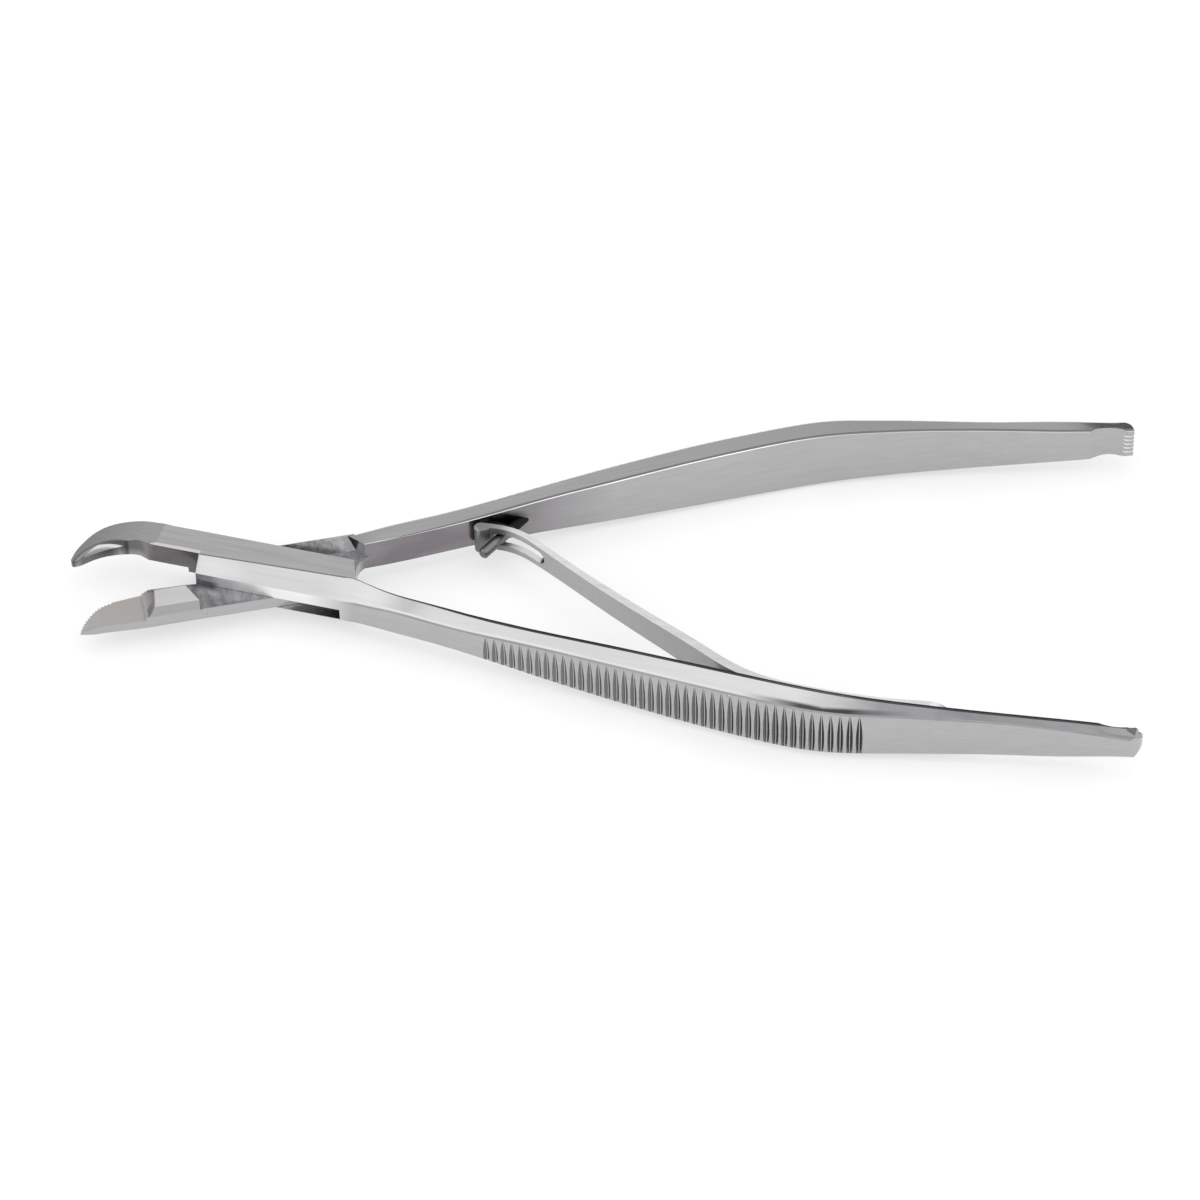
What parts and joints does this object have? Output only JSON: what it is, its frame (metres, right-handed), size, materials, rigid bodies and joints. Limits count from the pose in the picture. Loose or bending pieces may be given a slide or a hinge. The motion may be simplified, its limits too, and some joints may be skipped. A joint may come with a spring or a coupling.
{
  "type": "sprung grozing pliers",
  "caption": "Polished steel sprung pliers with a hooked beak over a fine-toothed blade, box joint, grooved handles and a leaf spring between them.",
  "frame": {"origin": "on the pivot axis, in the flat back face of the joint", "axes": "+Z along the pivot pin towards the front cheek, +X from the pivot towards the handle ends, jaws at -X, +Y towards the handle of the tongue half"},
  "size_m": [0.1805, 0.0758, 0.0116],
  "materials": {
    "polished_steel": "polished stainless steel, flat faces finely brushed",
    "spring_steel": "ground spring steel",
    "stud_steel": "turned steel"
  },
  "bodies": {
    "box_side": {"box_half": "polished_steel", "pivot_pin": "polished_steel", "spring_screw": "stud_steel"},
    "tongue_side": {"tongue_half": "polished_steel", "catch_stud": "stud_steel"},
    "spring": {"leaf_spring": "spring_steel"}
  },
  "joints": [
    {"name": "jaw_pivot", "type": "hinge", "parent": "box_side", "child": "tongue_side", "pos_m": [0, 0, 0.0045], "axis": [0, 0, 1], "range_deg": [-24, 0], "stiffness_Nm_per_rad": 1.2, "springref_deg": 2.86},
    {"name": "spring_flex", "type": "hinge", "parent": "box_side", "child": "spring", "pos_m": [0.0804, -0.0249, 0.0045], "axis": [0, 0, 1], "range_deg": [0, 18], "deforming": ["leaf_spring"]}
  ],
  "couplings": [
    {"joint": "spring_flex", "follows": "jaw_pivot", "ratio": -0.75}
  ]
}
